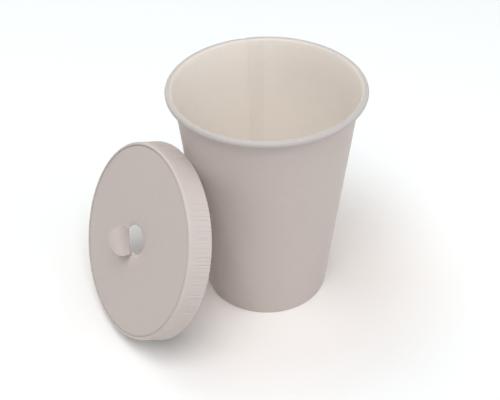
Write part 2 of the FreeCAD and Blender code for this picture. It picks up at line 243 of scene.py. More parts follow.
@dataclass
class Wiring:
    """Short ways to add nodes to a node tree and to join them."""

    tree: bpy.types.NodeTree

    def feed(self, node: bpy.types.Node, inputs: dict[str | int, Given]) -> None:
        """Join a socket to, or write a value on, each of a node's inputs."""
        for name, given in inputs.items():
            if isinstance(given, bpy.types.NodeSocket):
                self.tree.links.new(given, node.inputs[name])
            else:
                node.inputs[name].default_value = given

    def add(
        self, kind: str, inputs: dict[str | int, Given] | None = None, **settings: object
    ) -> bpy.types.Node:
        """Add a node.

        Args:
            kind: its type.
            inputs: what its inputs take.
            settings: its properties, which are set before its inputs.

        Returns:
            The node.
        """
        node = self.tree.nodes.new(kind)
        for name, setting in settings.items():
            setattr(node, name, setting)
        self.feed(node, inputs or {})
        return node

    def sum(self, operation: str, *terms: Given) -> bpy.types.NodeSocket:
        """Add a Math node and give its output."""
        return self.add("ShaderNodeMath", dict(enumerate(terms)), operation=operation).outputs[0]

    def noise(self, place: bpy.types.NodeSocket, size: float, detail: float = 2.0) -> bpy.types.NodeSocket:
        """Add a Noise Texture.

        Args:
            place: where the pattern is read, in metres.
            size: the pattern's coarsest feature, in millimetres.
            detail: how many finer layers lie on it.

        Returns:
            The noise, about 0.5.
        """
        inputs = {"Vector": place, "Scale": 1.0 / (size * MM), "Detail": detail}
        return self.add("ShaderNodeTexNoise", inputs).outputs["Fac"]

    def beyond(self, place: bpy.types.NodeSocket, start: float, blend: float) -> bpy.types.NodeSocket:
        """Rise smoothly from 0 to 1 where a place passes a start."""
        inputs = {"Value": place, "From Min": start, "From Max": start + blend}
        return self.add("ShaderNodeMapRange", inputs, interpolation_type="SMOOTHSTEP").outputs["Result"]


def new_group(name: str, inputs: dict[str, str], outputs: dict[str, str]) -> bpy.types.NodeTree:
    """Start a shader node group.

    Args:
        name: the group's name.
        inputs: the socket type of each input.
        outputs: the socket type of each output.

    Returns:
        The group.
    """
    group = bpy.data.node_groups.new(name, "ShaderNodeTree")
    for side, sockets in (("INPUT", inputs), ("OUTPUT", outputs)):
        for socket, kind in sockets.items():
            group.interface.new_socket(socket, in_out=side, socket_type=kind)
    return group


def paper_grain() -> bpy.types.NodeTree:
    """Build the grain of paperboard.

    Cloudy formation, fine tooth, short fibres lying two ways and long faint streaks of the paper machine.
    Sheet is the place on the flat blank, in metres, and the other inputs are the strength of each.

    Returns:
        A group that puts out a tint about 0 and a height about 0.
    """
    number = "NodeSocketFloat"
    group = new_group(
        "paper_grain",
        {"Sheet": "NodeSocketVector", "Clouds": number, "Tooth": number, "Fibres": number, "Streaks": number},
        {"Tint": number, "Height": number},
    )
    wiring = Wiring(group)
    given = wiring.add("NodeGroupInput").outputs
    sheet = given["Sheet"]
    lines = []
    for degrees, seed in ((28.0, 0.0), (-41.0, 0.4)):
        turned = wiring.add("ShaderNodeMapping", {
            "Vector": sheet,
            "Rotation": (0.0, 0.0, np.radians(degrees)),
            "Location": (seed, seed, 0.0),
            "Scale": (1.0, 0.16, 1.0),
        })
        wave = wiring.noise(turned.outputs["Vector"], 0.26, 1.0)
        ridge = wiring.sum("ABSOLUTE", wiring.sum("SUBTRACT", wave, 0.5))
        dark = wiring.sum("MINIMUM", wiring.sum("MULTIPLY", ridge, 18.0), 1.0)
        lines.append(wiring.sum("SUBTRACT", 1.0, dark))
    drawn = wiring.add("ShaderNodeMapping", {"Vector": sheet, "Scale": (1.0, 0.02, 1.0)})
    parts = {
        "Clouds": wiring.sum("SUBTRACT", wiring.noise(sheet, 5.0, 4.0), 0.5),
        "Tooth": wiring.sum("SUBTRACT", wiring.noise(sheet, 0.34, 2.0), 0.5),
        "Fibres": wiring.sum("MAXIMUM", *lines),
        "Streaks": wiring.sum("SUBTRACT", wiring.noise(drawn.outputs["Vector"], 1.6, 3.0), 0.5),
    }
    totals = {"Tint": 0.0, "Height": 0.0}
    shares = {"Tint": (1.0, 0.35, 0.30, 1.0), "Height": (0.8, 1.0, 0.6, 1.2)}
    for name in totals:
        for (part, value), share in zip(parts.items(), shares[name]):
            amount = wiring.sum("MULTIPLY", given[part], share)
            totals[name] = wiring.sum("MULTIPLY_ADD", value, amount, totals[name])
    wiring.feed(wiring.add("NodeGroupOutput"), totals)
    return group


def fold_wear_and_painted_light() -> bpy.types.NodeTree:
    """Build the wear of folds and creases, where stretched fibres stand up and hands have polished them, and
    the painted light on the same tint: a painted highlight round the sip hole and, where the fold is below 0,
    painted shade in the lid's groove.

    Returns:
        A group that puts out a tint, a change of roughness and a height in step with the fold.
    """
    number = "NodeSocketFloat"
    group = new_group(
        "fold_wear_and_painted_light",
        {"Sheet": "NodeSocketVector", "Fold": number, "Amount": number},
        {"Tint": number, "Roughness": number, "Height": number},
    )
    wiring = Wiring(group)
    given = wiring.add("NodeGroupInput").outputs
    broken = wiring.sum("MULTIPLY_ADD", wiring.noise(given["Sheet"], 1.1, 3.0), 2.4, -0.6)
    broken = wiring.sum("MAXIMUM", wiring.sum("MINIMUM", broken, 1.0), 0.0)
    worn_and_painted_light = wiring.sum("MULTIPLY", wiring.sum("MULTIPLY", given["Fold"], broken), given["Amount"])
    smoother, raised = wiring.sum("MULTIPLY", worn_and_painted_light, -0.9), wiring.sum("MULTIPLY", worn_and_painted_light, 0.8)
    wiring.feed(wiring.add("NodeGroupOutput"), {"Tint": worn_and_painted_light, "Roughness": smoother, "Height": raised})
    return group


@dataclass(frozen=True)
class PaperFinish:
    """The finish of one side of a piece of board.

    A darker rim colour takes over past its start, in metres up the blank: painted shade on the rolled rim,
    which faces the light from above.
    From lap_start, in metres round the blank, the board lies on another ply, and there its colour is made
    darker: painted shade for the light that two plies let through less than one.
    """

    name: str
    colour: Colour
    rim_shade_colour: Colour | None = None
    rim_shade_start: float = 0.0
    rim_shade_blend: float = 0.0016
    lap_start: float | None = None
    lap_blend: float = 0.0012
    lap_shade: float = 0.035
    roughness: float = 0.62
    coat: float = 0.0
    clouds: float = 0.10
    tooth: float = 0.12
    fibres: float = 0.10
    streaks: float = 0.05
    # The amount of the fold tint: real wear of folds, and also the painted highlight round the sip hole and
    # the painted shade in the lid's groove.
    wear: float = 0.06
    relief: float = 0.03

    @staticmethod
    def shaded(wiring: Wiring, colour: Colour, tint: bpy.types.NodeSocket) -> bpy.types.NodeSocket:
        """Make a colour lighter and darker by a tint.

        Formula: colour * (1 - spread) where tint is -spread, and colour * (1 + spread) where it is spread,
        with the spread as wide as leaves the colour under white.

        Args:
            wiring: the material's wiring.
            colour: the colour where the tint is 0.
            tint: the tint, about 0.

        Returns:
            The shaded colour.
        """
        spread = min(0.4, 1.0 / max(colour) - 1.0)
        inputs = {
            "Factor": wiring.sum("MULTIPLY_ADD", tint, 0.5 / spread, 0.5),
            "A": (*((1 - spread) * part for part in colour), 1.0),
            "B": (*((1 + spread) * part for part in colour), 1.0),
        }
        return wiring.add("ShaderNodeMix", inputs, data_type="RGBA").outputs["Result"]

    def material(self, groups: dict[str, bpy.types.NodeTree]) -> bpy.types.Material:
        """Build the material.

        The colour is the finish's own, made up to a few percent lighter and darker by the grain and the
        folds. The fold share also carries a painted highlight round the sip hole and painted shade in the
        lid's groove, and the finish can darken the rolled rim and the seam's lap with painted shade.

        Args:
            groups: the shared node groups, by name.

        Returns:
            The material.
        """
        material = bpy.data.materials.new(self.name)
        material.use_nodes = True
        wiring = Wiring(material.node_tree)
        sheet = wiring.add("ShaderNodeUVMap", uv_map="blank").outputs["UV"]
        fold = wiring.add("ShaderNodeAttribute", attribute_name="fold").outputs["Fac"]
        amounts = {name: getattr(self, name.lower()) for name in ("Clouds", "Tooth", "Fibres", "Streaks")}
        folded = {"Sheet": sheet, "Fold": fold, "Amount": self.wear}
        grain_tree = groups["paper_grain"]
        grain = wiring.add("ShaderNodeGroup", {"Sheet": sheet, **amounts}, node_tree=grain_tree).outputs
        worn_and_painted_light = wiring.add("ShaderNodeGroup", folded, node_tree=groups["fold_wear_and_painted_light"]).outputs

        tint = wiring.sum("ADD", grain["Tint"], worn_and_painted_light["Tint"])
        place = wiring.add("ShaderNodeSeparateXYZ", {"Vector": sheet}).outputs
        # Painted shade over the seam's second ply.
        if self.lap_start is not None:
            lapped = wiring.beyond(place["X"], self.lap_start, self.lap_blend)
            tint = wiring.sum("MULTIPLY_ADD", lapped, -self.lap_shade, tint)
        shaded = self.shaded(wiring, self.colour, tint)
        # Painted shade: past its start the rolled rim takes a darker colour.
        if self.rim_shade_colour is not None:
            rolled = wiring.beyond(place["Y"], self.rim_shade_start, self.rim_shade_blend)
            both = {"Factor": rolled, "A": shaded, "B": self.shaded(wiring, self.rim_shade_colour, tint)}
            shaded = wiring.add("ShaderNodeMix", both, data_type="RGBA").outputs["Result"]

        rough = wiring.sum("MULTIPLY_ADD", grain["Tint"], -0.5, self.roughness)
        height = wiring.sum("ADD", grain["Height"], worn_and_painted_light["Height"])
        bump = wiring.add("ShaderNodeBump", {"Distance": self.relief * MM, "Height": height})
        wiring.feed(material.node_tree.nodes["Principled BSDF"], {
            "Base Color": shaded,
            "Roughness": wiring.sum("ADD", rough, worn_and_painted_light["Roughness"]),
            "Normal": bump.outputs["Normal"],
            "Specular IOR Level": 0.35,
            "Coat Weight": self.coat,
            "Coat Roughness": 0.45,
        })
        return material


def make_piece(
    name: str,
    surface: Surface,
    finishes: tuple[PaperFinish, PaperFinish, PaperFinish],
    groups: dict[str, bpy.types.NodeTree],
    node: str,
    slot: Slot,
) -> bpy.types.Object:
    """Write a surface to a mesh, finish it and put it in a CAD node's place.

    Args:
        name: the piece's name.
        surface: the closed surface.
        finishes: those of the plain side, the lined side and the cut edges.
        groups: the shared node groups, by name.
        node: the CAD node that the piece stands for.
        slot: the record's material slot.

    Returns:
        The piece.
    """
    mesh = bpy.data.meshes.new(name)
    mesh.from_pydata((surface.points * MM).tolist(), [], surface.faces.tolist())
    corners = np.empty(len(mesh.loops), np.int32)
    mesh.loops.foreach_get("vertex_index", corners)
    mesh.uv_layers.new(name="blank").data.foreach_set("uv", surface.flat[corners].astype(np.float32).ravel())
    mesh.attributes.new("fold", "FLOAT", "POINT").data.foreach_set("value", surface.fold.astype(np.float32))
    mesh.polygons.foreach_set("material_index", surface.sides.astype(np.int32))
    mesh.polygons.foreach_set("use_smooth", np.ones(len(mesh.polygons), bool))
    mesh.set_sharp_from_angle(angle=np.radians(45.0))
    for finish in finishes:
        mesh.materials.append(finish.material(groups))
    mesh.update()
    piece = bpy.data.objects.new(name, mesh)
    bpy.context.scene.collection.objects.link(piece)
    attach(piece, "root")
    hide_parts(node)
    LOG.info("%s: %d faces, for %s, finished as %s", name, len(mesh.polygons), node, slot.value)
    return piece


# The cup


@dataclass(frozen=True)
class CupForm:
    """The sizes of the cup that more than one of its pieces follows."""

    height: float = 112.0
    rim_radius: float = 45.0
    foot_radius: float = 30.0
    throat_step: float = 1.8
    flare_drop: float = 14.0
    bead_radius: float = 1.5
    board: float = 0.42
    base_board: float = 0.34
    seat_gap: float = 0.1

    @property
    def throat(self) -> float:
        """Outside radius of the wall where its flare starts."""
        return self.rim_radius - 2 * self.bead_radius - self.throat_step

    @property
    def slope(self) -> float:
        """Millimetres that the wall leans outwards, a millimetre of height."""
        return (self.throat - self.foot_radius) / (self.height - self.flare_drop)

    @property
    def slant(self) -> float:
        """Turns a thickness across the wall into a level one."""
        return float(np.hypot(1.0, self.slope))

    @property
    def across(self) -> np.ndarray:
        """The wall's outward normal, level and upright parts."""
        return np.array([1.0, -self.slope]) / self.slant

    def face(self, level: float, depth: float = 0.0) -> float:
        """Radius, at a level, of the surface that lies a depth behind the wall's outward face."""
        return self.foot_radius + self.slope * level - depth * self.slant


@dataclass(frozen=True)
class CupWall:
    """The wall's blank: hem, wound wall with its lapped side seam, flare and rolled rim."""

    form: CupForm
    finishes: tuple[PaperFinish, PaperFinish, PaperFinish]
    hem_height: float = 6.2
    fold_radius: float = 0.5
    curl_end: float = 231.0
    seam_azimuth: float = 91.0
    lap: float = 11.5
    ramp: float = 9.5
    glue_line: float = 0.06
    pressed: float = 0.27
    pressed_arc: float = 4.0
    lap_start: tuple[float, float] = (1.0, 2.6)
    lap_sink: float = 0.05
    knee: float = 4.0
    turn_steps: int = 360

    def section(self) -> tuple[np.ndarray, np.ndarray, np.ndarray, int]:
        """Follow the middle of the board from the hem's raw edge to the rim's.

        Returns:
            Points, normals, way travelled, and the number of the first point of the upright wall.
        """
        form = self.form
        half = form.board / 2
        lean = float(np.degrees(np.arctan(form.slope)))
        width = 2 * form.board + 2 * form.seat_gap + form.base_board
        out_x = form.face(self.fold_radius) - self.fold_radius * form.slant
        in_x = form.face(self.fold_radius, width) + self.fold_radius * form.slant
        fold = self.fold_radius - half
        hem_top = (form.face(self.hem_height, width - half), self.hem_height)
        hem_low = (in_x - fold / form.slant, self.fold_radius + fold * form.slope / form.slant)
        wall_low = (out_x + fold / form.slant, self.fold_radius - fold * form.slope / form.slant)

        roll = np.array([form.rim_radius - form.bead_radius, form.height - form.bead_radius])
        flare = np.array([form.throat, form.height - form.flare_drop]) - form.board * form.across
        away = flare - roll
        spread = (form.bead_radius**2 - away @ away) / (
            2 * ((away[0] - form.slope * away[1]) / form.slant + form.bead_radius)
        )
        centre = flare + spread * form.across
        meet = float(np.degrees(np.arctan2(*(roll - centre)[::-1])))
        flare_start = tuple(flare + half * form.across)
        knee = (form.face(self.knee, half), self.knee)
        points, normals, travelled = trace([
            Run(hem_top, hem_low, 5),
            Bend((in_x, self.fold_radius), fold, 180 - lean, 270, 7),
            Run((in_x, half), (out_x, half), 2),
            Bend((out_x, self.fold_radius), fold, 270, 360 - lean, 7),
            Run(wall_low, knee, 8),
            Run(knee, flare_start, 24),
            Bend(tuple(centre), spread - half, 180 - lean, meet, 14),
            Bend(tuple(roll), form.bead_radius - half, meet, self.curl_end - 360, ROLL_STEPS),
        ])
        return points, normals, travelled, 5 + 7 + 2 + 7

    def lifted(self, points: np.ndarray, azimuth: np.ndarray) -> np.ndarray:
        """Share of a board's thickness that the blank lies outwards, where it rides on its own inner end.

        Formula: 1 over the lap, falling to 0 along the ramp, times a rise from 0 to 1 just above the foot's
        fold.

        Args:
            points: the section.
            azimuth: the azimuths of the rows, in degrees.

        Returns:
            The share at each point of the grid.
        """
        lap_end = self.seam_azimuth + self.lap
        round_share = 1.0 - smooth(azimuth, lap_end, lap_end + self.ramp)
        rise = smooth(points[:, 1], *self.lap_start)
        return round_share[:, None] * rise[None, :]

    def warped(self, line: np.ndarray, azimuth: np.ndarray) -> np.ndarray:
        """Make the wall a little out of round, as a hand leaves it.

        Formula: with the square of the height's share, the radius grows by
        0.06 cos(2a - 0.7) + 0.03 cos(3a + 1.1) - 0.06.

        Args:
            line: a section in each row.
            azimuth: the azimuths of the rows, in degrees.

        Returns:
            The sections, moved.
        """
        turn = np.radians(azimuth)[:, None]
        height = np.clip(line[..., 1] / self.form.height, 0, 1) ** 2
        line = line.copy()
        line[..., 0] += height * (0.06 * np.cos(2 * turn - 0.7) + 0.03 * np.cos(3 * turn + 1.1) - 0.06)
        return line

    def arc(self, azimuth: np.ndarray | float) -> np.ndarray:
        """Distance round the blank at an azimuth in degrees, at the wall's middle radius."""
        return np.radians(azimuth) * (self.form.foot_radius + self.form.rim_radius) / 2

    def shell(self, azimuth: np.ndarray, first: int, sink: float = 0.0) -> Surface:
        """Wind one stretch of the blank round the axis.

        Formula: the section, moved outwards by the lift where it rides on its own inner end. That end is
        pressed thinner from outside, and what rides on it comes in by as much.

        Args:
            azimuth: the azimuths of its rows, in degrees.
            first: the number of the section's point where the stretch starts.
            sink: how far the stretch lies inwards where it isn't lifted, so that its foot is pressed flush.

        Returns:
            The closed surface.
        """
        points, normals, travelled, _ = self.section()
        points, normals, travelled = points[first:], normals[first:], travelled[first:]
        lap_end = self.seam_azimuth + self.lap
        share = self.lifted(points, azimuth)
        thinned = self.pressed * smooth(azimuth, lap_end + 360.0 - self.pressed_arc, lap_end + 360.0)
        pressed = self.pressed * smooth(azimuth, lap_end - self.pressed_arc, lap_end)
        lift = self.form.board + self.glue_line - pressed
        offset = lift[:, None] * share - sink * (1.0 - share) - thinned[:, None] / 2
        line = self.warped(points + offset[..., None] * normals, azimuth)
        middle, across = swept(line, normals, azimuth)
        flat = np.stack(np.broadcast_arrays(self.arc(azimuth)[:, None], travelled[None, :]), axis=-1) * MM
        roll = smooth(points[:, 1], self.form.height - 3.4, self.form.height - 2.0)
        foot = 1.0 - smooth(points[:, 1], 0.4, 1.6)
        fold = np.broadcast_to(np.maximum(roll, foot), middle.shape[:2])
        return board(middle, across, self.form.board - thinned, flat, fold, (Side.PLAIN, Side.LINED))

    def build(self, groups: dict[str, bpy.types.NodeTree]) -> bpy.types.Object:
        """Make the wound blank and the outer ply of its seam, which rides on the blank's inner end."""
        points, _, travelled, first = self.section()
        lap_end = self.seam_azimuth + self.lap
        blank = self.shell(np.linspace(lap_end, lap_end + 360.0, self.turn_steps + 1), 0)
        start = first + int(np.argmax(points[first:, 1] > self.lap_start[0]))
        outer = self.shell(np.linspace(self.seam_azimuth, lap_end, 13), start, self.lap_sink)
        plain, lined, cut = self.finishes
        # The rim's painted shade starts where the roll does, and the seam's painted shade at the lap.
        lined = replace(
            lined,
            rim_shade_start=float(travelled[-ROLL_STEPS - 1]) * MM,
            lap_start=float(self.arc(self.seam_azimuth + 360.0)) * MM,
        )
        finishes = (plain, lined, cut)
        return make_piece("cup_wall", blank.joined(outer), finishes, groups, "cup_sidewall", Slot.WALL)


@dataclass(frozen=True)
class CupBase:
    """The base: a disc let into the foot, whose edge turns down between the wall and the hem."""

    form: CupForm
    finishes: tuple[PaperFinish, PaperFinish, PaperFinish]
    recess: float = 7.5
    bend: float = 0.85
    dish: float = 0.25
    gathers: int = 64
    gather_depth: float = 0.05
    turn_steps: int = 384

    def build(self, groups: dict[str, bpy.types.NodeTree]) -> bpy.types.Object:
        """Make the disc.

        Formula: the section turned about the axis, dished by (1 - (r / R)^2), with its turned edge waved by
        the cosine of the gathers.

        Args:
            groups: the shared node groups.

        Returns:
            The piece.
        """
        form = self.form
        half = form.base_board / 2
        lean = float(np.degrees(np.arctan(form.slope)))
        depth = form.board + form.seat_gap
        bend_z = self.recess + form.base_board - self.bend
        bend_x = form.face(bend_z, depth) - self.bend * form.slant
        radius = self.bend - half
        skirt = (bend_x + radius / form.slant, bend_z - radius * form.slope / form.slant)
        points, normals, travelled = trace([
            Run((0.0, self.recess + half), (bend_x, self.recess + half), 22),
            Bend((bend_x, bend_z), radius, 90, -lean, 8),
            Run(skirt, (form.face(depth, depth + half), depth), 8),
        ])
        azimuth = np.linspace(0.0, 360.0, self.turn_steps, endpoint=False)
        turn = np.radians(azimuth)[:, None]
        line = np.broadcast_to(points, (len(azimuth), *points.shape)).copy()
        turned = smooth(points[:, 0], bend_x - 1.2, bend_x + 0.4)
        flat_part = 1.0 - smooth(points[:, 0], bend_x - 6.0, bend_x - 0.5)
        line[..., 1] -= self.dish * (1 - (points[:, 0] / bend_x) ** 2) * flat_part
        line[..., 0] += self.gather_depth * turned * (np.cos(self.gathers * turn) - 1) / 2
        middle, across = swept(line, normals, azimuth)
        flat = travelled[None, :, None] * np.concatenate([np.cos(turn), np.sin(turn)], axis=1)[:, None] * MM
        fold = np.broadcast_to(turned * smooth(points[:, 1], bend_z - 0.4, bend_z + 0.1), middle.shape[:2])
        disc = board(middle, across, form.base_board, flat, fold, (Side.PLAIN, Side.LINED), closed=True)
        piece = make_piece("cup_base_disc", disc, self.finishes, groups, "cup_base", Slot.BASE)
        close_pole(piece)
        return piece


def close_pole(piece: bpy.types.Object) -> None:
    """Merge the points that a turned surface has on its axis."""
    mesh = bmesh.new()
    mesh.from_mesh(piece.data)
    bmesh.ops.remove_doubles(mesh, verts=mesh.verts, dist=1e-7)
    mesh.to_mesh(piece.data)
    mesh.free()


# The lid


@dataclass(frozen=True)
class SipHole:
    """The oval that the die cut in the lid's face, whose hinge side was left uncut."""

    centre: tuple[float, float] = (-1.32, -0.40)
    long_half: float = 8.1
    short_half: float = 6.95
    hinge: float = 4.97
    angle: float = 34.0

    @staticmethod
    def axes(degrees: float) -> np.ndarray:
        """Give a level direction and the one a right angle to its left, as rows."""
        turn = np.radians(degrees)
        return np.array([[np.cos(turn), np.sin(turn)], [-np.sin(turn), np.cos(turn)]])

    def reach(self, turn: np.ndarray) -> np.ndarray:
        """Distance from the centre to the edge.

        Formula: the lesser of 1 / |(cos b / A, sin b / B)| for the oval and hinge / -cos b for the hinge,
        where b is the angle from the long axis.

        Args:
            turn: directions, in radians.

        Returns:
            The distances.
        """
        off = turn - np.radians(self.angle)
        oval = 1.0 / np.hypot(np.cos(off) / self.long_half, np.sin(off) / self.short_half)
        return np.minimum(oval, self.hinge / np.maximum(-np.cos(off), 1e-6))

    def edge(self, turn: np.ndarray) -> np.ndarray:
        """Places on the edge in the given directions from the centre, in radians."""
        ray = np.stack([np.cos(turn), np.sin(turn)], axis=1)
        return np.array(self.centre) + self.reach(turn)[:, None] * ray

    def outside(self, place: np.ndarray) -> tuple[np.ndarray, np.ndarray]:
        """Measure places against the edge.

        Args:
            place: places on the face, in the lid's own level directions.

        Returns:
            The distance beyond the edge, and the direction from the centre in radians.
        """
        away = place - np.array(self.centre)
        turn = np.arctan2(away[..., 1], away[..., 0])
        return np.maximum(np.hypot(away[..., 0], away[..., 1]) - self.reach(turn), 0.0), turn


@dataclass(frozen=True)
class Lid:
    """The lid, drawn with its axis on Z and the ridge of its face at Z = 0, and then leaned."""

    form: CupForm
    finishes: tuple[PaperFinish, PaperFinish, PaperFinish]
    face_radius: float = 45.45
    mouth_radius: float = 46.5
    skirt_height: float = 11.0
    board: float = 0.45
    fold: float = 1.1
    ridge_width: float = 0.2
    ridge_wear: float = 0.5
    step_width: float = 0.3
    face_recess: float = 0.3
    groove: float = 0.3
    groove_width: float = 0.2
    # Painted shade: a dark line in the groove at the face's edge, given as a negative fold share.
    groove_shade: float = 9.0
    groove_shade_width: float = 0.34
    groove_shade_depth: float = 0.8
    hole: SipHole = SipHole()
    rim_press: float = 0.85
    rim_width: float = 2.0
    edge_press: float = 0.4
    edge_width: float = 0.8
    dip: float = 0.55
    dip_width: float = 6.0
    # Painted highlight on the sip hole's lower rim: amounts and reaches of the fold share.
    hole_rim_highlight: tuple[tuple[float, float], ...] = ((6.0, 0.6), (2.6, 3.2))
    flap_fold: float = 40.5
    flap_angle: float = 70.0
    flap_curl: float = 88.0
    flap_bend: float = 2.4
    flap_neck: float = 0.8
    neck_place: float = 2.4
    neck_width: float = 1.7
    flap_twist: float = 0.32
    twist_start: float = 1.0
    twist_run: float = 8.0
    flap_cup: float = 0.4
    cup_half: float = 7.0
    creases: int = 160
    crease_stray: float = 0.36
    crease_depth: float = 0.17
    crease_depths: tuple[float, float] = (0.25, 1.25)
    crease_width: float = 0.27
    crease_widths: tuple[float, float] = (0.7, 1.4)
    crease_rows: tuple[float, ...] = (-1.7, -0.8, 0.0, 0.8, 1.6, 2.6)
    crease_start: tuple[float, float] = (0.8, 3.4)
    crease_growth: float = 2.6
    crease_lean: float = 0.002
    lip: float = 0.55
    lip_place: float = 1.9
    plain_radius: float = 22.0
    inner_columns: int = 12
    lean: float = 23.39
    azimuth: float = 211.81
    slide: float = 6.7
    gap: float = 0.3
    seed: int = 7

    @property
    def draft(self) -> float:
        """Millimetres that the skirt spreads, a millimetre down."""
        return (self.mouth_radius - self.face_radius) / self.skirt_height

    @property
    def spread(self) -> float:
        """Turns a thickness across the skirt into one along the face."""
        return float(np.hypot(1.0, self.draft))

    @property
    def fold_start(self) -> float:
        """Radius where the ridge ends and the fold starts."""
        return self.face_radius + self.draft * self.fold - self.fold * self.spread

    @property
    def groove_place(self) -> float:
        """Radius of the recessed face's edge, where the groove lies."""
        return self.fold_start - self.ridge_width - self.step_width

    def axes(self) -> np.ndarray:
        """Give the lid's own X, Y and Z as rows: level, up its face, and out of its face."""
        turn, lean = np.radians([self.azimuth, self.lean])
        away = np.array([np.cos(turn), np.sin(turn), 0.0])
        level = np.array([-np.sin(turn), np.cos(turn), 0.0])
        normal = away * np.cos(lean) + np.array([0.0, 0.0, np.sin(lean)])
        return np.stack([level, np.cross(normal, level), normal])

    def place(self) -> tuple[np.ndarray, np.ndarray]:
        """Stand the lid on its open end and move it in until the wall is a gap away.

        Returns:
            The middle of its face, and its axes as rows.
        """
        axes = self.axes()
        level, upwards, normal = axes
        away = np.array([np.cos(np.radians(self.azimuth)), np.sin(np.radians(self.azimuth)), 0.0])
        lean = np.radians(self.lean)
        rise = self.skirt_height * np.sin(lean) + self.mouth_radius * np.cos(lean)
        aside = np.array([0.0, 0.0, rise]) - level * self.slide
        turn = np.radians(np.arange(181.0))[:, None]
        ray = level * np.cos(turn) + upwards * np.sin(turn)
        edge = ray * self.mouth_radius - normal * self.skirt_height
        near, far = self.form.foot_radius, self.form.foot_radius + self.form.height + 2 * self.mouth_radius
        while far - near > 1e-9:
            middle = (near + far) / 2
            points = away * middle + aside + edge
            wall = self.form.foot_radius + self.form.slope * points[:, 2]
            clear = (np.hypot(points[:, 0], points[:, 1]) - wall).min() / self.form.slant
            near, far = (middle, far) if clear < self.gap else (near, middle)
        return away * far + aside, axes

    def section(self) -> tuple[np.ndarray, np.ndarray, np.ndarray]:
        """Follow the middle of the paper from the plain part of the face to the open end.

        Returns:
            Points, normals and way travelled.
        """
        half = self.board / 2
        spread = self.spread
        fold_x, face_x = self.fold_start, self.groove_place
        dense_x = face_x - 2 * self.groove_width
        low, high = -self.face_recess - half, -half
        rest = float(np.degrees(np.arctan(self.draft)))
        radius = self.fold - half
        skirt = (fold_x + radius / spread, -self.fold + radius * self.draft / spread)
        end = (self.mouth_radius - half / spread, -self.skirt_height + half * self.draft)
        points, normals, travelled = trace([
            Run((self.plain_radius, low), (dense_x - 1.0, low), 3),
            Run((dense_x - 1.0, low), (dense_x, low), 2),
            Run((dense_x, low), (fold_x, low), 9),
            Bend((fold_x, -self.fold), radius, 90, rest, 6),
            Run(skirt, end, 12),
        ])
        flat_part = points[:, 0] <= fold_x + 1e-6
        step = smooth(points[:, 0], face_x, face_x + 1.5 * self.step_width)
        groove = self.groove * np.exp(-(((points[:, 0] - face_x) / self.groove_width) ** 2))
        stepped = low + (high - low) * step - groove
        points[:, 1] = np.where(flat_part & (points[:, 1] < high), stepped, points[:, 1])
        across = np.gradient(points, axis=0)
        across /= np.hypot(*across.T)[:, None]
        normals = np.where(flat_part[:, None], np.stack([across[:, 1], -across[:, 0]], axis=1), normals)
        return points, normals, travelled + self.plain_radius

    def drawn_in(self, points: np.ndarray) -> tuple[np.ndarray, np.ndarray, np.ndarray]:
        """Work out the creases that the disc took where it was drawn in to a skirt.

        Formula: each crease is a groove exp(-(x / width)^2) with a low lip beside it. It has its own seeded
        place, depth, width and start, and deepens from there down. Six rows of points lie across it. The
        lips stay inside the skirt's plain outline.

        Args:
            points: the section.

        Returns:
            The rows' angles in radians, how far each grid point goes inwards, and its share of a crease.
        """
        chance = np.random.default_rng(self.seed)
        count = self.creases
        stray = chance.uniform(-self.crease_stray, self.crease_stray, count)
        place = (np.arange(count) + stray) * 2 * np.pi / count
        depth = self.crease_depth * chance.uniform(*self.crease_depths, count)
        width = self.crease_width * chance.uniform(*self.crease_widths, count)
        start = chance.uniform(*self.crease_start, count)
        side = chance.choice([-1.0, 1.0], count)
        lean = chance.normal(0.0, self.crease_lean, count)
        rows = np.array(self.crease_rows)[:, None] * side * width / self.face_radius
        turn = np.sort((place + rows).ravel() % (2 * np.pi))
        turn = turn[np.diff(turn, prepend=turn[-1] - 2 * np.pi) > 1e-4]
        down = -points[:, 1]
        growth = smooth(down[:, None], start, start + self.crease_growth) * depth
        away = (turn[:, None] - place + np.pi) % (2 * np.pi) - np.pi
        shift = away[:, :, None] + (lean[:, None] * down[None, :] / self.skirt_height)[None]
        x = shift * self.face_radius / width[None, :, None]
        lip = self.lip * np.exp(-((x - self.lip_place * side[None, :, None]) ** 2))
        inwards = np.einsum("ncs,sc->ns", np.exp(-(x**2)) - lip, growth)
        return turn, inwards - inwards.min(axis=0), np.clip(inwards / self.crease_depth, 0.0, 1.0)

    def cap(self) -> Surface:
        """Make the face with its hole, the ridge, the fold and the creased skirt.

        Formula: rows turn about the axis. The first columns run from the hole's edge to a plain circle:
        edge + t * (circle - edge), with t crowded towards the edge. The rest is the section turned. The
        fold's share is the larger of the ridge's and the creases', less a painted shade in the groove, and
        round the hole it is a painted highlight on the hole's lower rim.

        Returns:
            The closed surface.
        """
        points, normals, travelled = self.section()
        turn, inwards, crease = self.drawn_in(points)
        line = np.broadcast_to(points, (len(turn), *points.shape)).copy()
        line[..., 0] -= inwards
        middle, across = swept(line, normals, np.degrees(turn))

        ray = np.stack([np.cos(turn), np.sin(turn)], axis=1)
        edge = self.hole.edge(turn)
        share = (np.linspace(0.0, 1.0, self.inner_columns + 1)[:-1] ** 1.8)[None, :, None]
        inner = (1 - share) * edge[:, None] + share * self.plain_radius * ray[:, None]
        level = np.full((*inner.shape[:2], 1), points[0, 1])
        inner = np.concatenate([inner, level], axis=2)
        middle = np.concatenate([inner, middle], axis=1)
        down = np.broadcast_to([0.0, 0.0, -1.0], inner.shape)
        across = np.concatenate([down, across], axis=1)
        middle[..., 2] += self.relief(middle[..., :2])

        outer_flat = travelled[None, :, None] * ray[:, None]
        flat = np.concatenate([inner[..., :2], outer_flat], axis=1) * MM
        ridge = np.exp(-(((points[:, 0] - self.face_radius) / self.ridge_wear + 1.0) ** 2))
